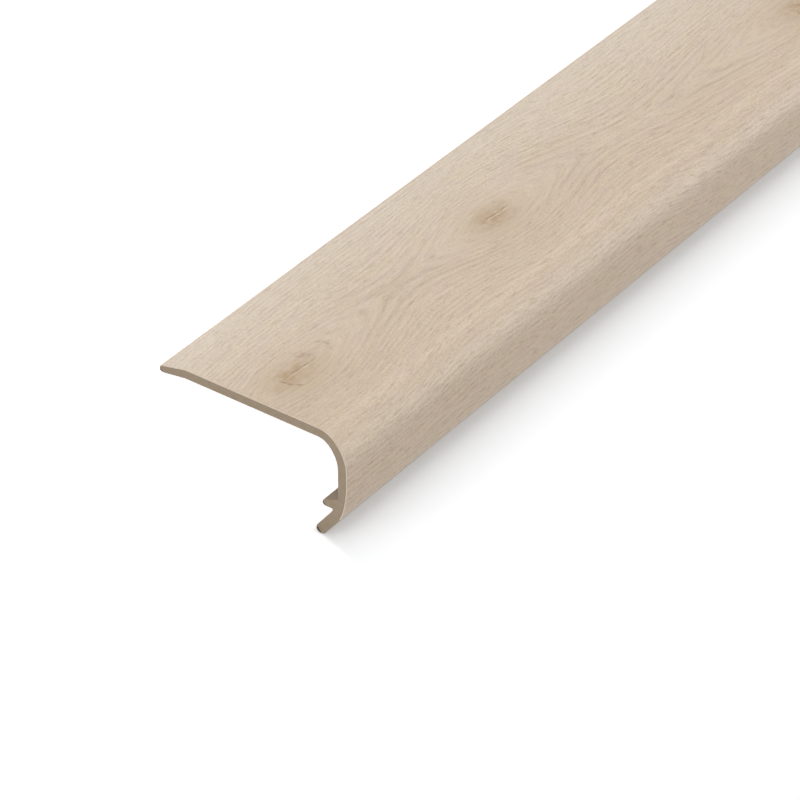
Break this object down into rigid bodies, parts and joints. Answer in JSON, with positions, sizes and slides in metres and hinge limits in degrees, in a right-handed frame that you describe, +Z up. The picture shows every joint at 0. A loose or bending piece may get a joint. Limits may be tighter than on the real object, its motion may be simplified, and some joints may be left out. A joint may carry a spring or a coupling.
{
  "type": "overlapping stair nosing",
  "caption": "Long wood-print stair edging with a flat flange that laps over the floor, a rounded nose and a hooked front apron.",
  "frame": {"origin": "on the floor under the middle of the nosing, as it lies on its leg and rear lip", "axes": "+X along the length, -Y towards the front of the nose, +Z up from the floor"},
  "size_m": [2.4, 0.0606, 0.029],
  "materials": {
    "stair_nosing": "pale oak print, satin"
  },
  "bodies": {
    "root": {"stair_nosing": "stair_nosing"}
  },
  "joints": []
}
